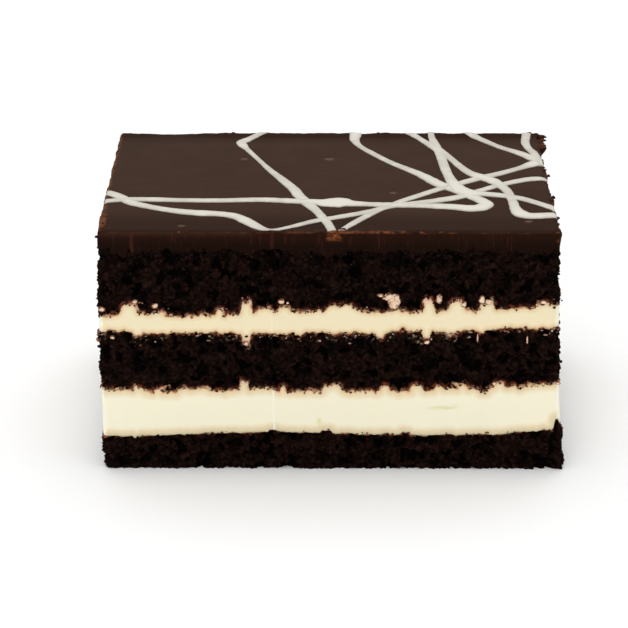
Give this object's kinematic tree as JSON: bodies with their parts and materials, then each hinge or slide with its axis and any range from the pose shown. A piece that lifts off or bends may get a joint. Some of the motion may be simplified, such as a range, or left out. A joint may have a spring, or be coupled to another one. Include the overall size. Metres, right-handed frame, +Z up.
{
  "type": "opera cake",
  "caption": "Bar of layered opera cake cut from a slab: dark chocolate sponge, vanilla cream fillings, a poured chocolate glaze and a fine drizzle of white chocolate.",
  "frame": {"origin": "centre of the foot, on the surface that the cake stands on", "axes": "+X along the cake's length, -Y towards the long cut face that the picture shows, +Z up"},
  "size_m": [0.1298, 0.083, 0.0713],
  "materials": {
    "sponge": "torn, moist and matt",
    "cream": "smooth knife cut, soft satin",
    "glaze": "set ganache, satin, with matt white chocolate lines"
  },
  "bodies": {
    "root": {"base_sponge": "sponge", "lower_cream": "cream", "middle_sponge": "sponge", "upper_cream": "cream", "top_sponge": "sponge", "chocolate_glaze": "glaze"}
  },
  "joints": []
}
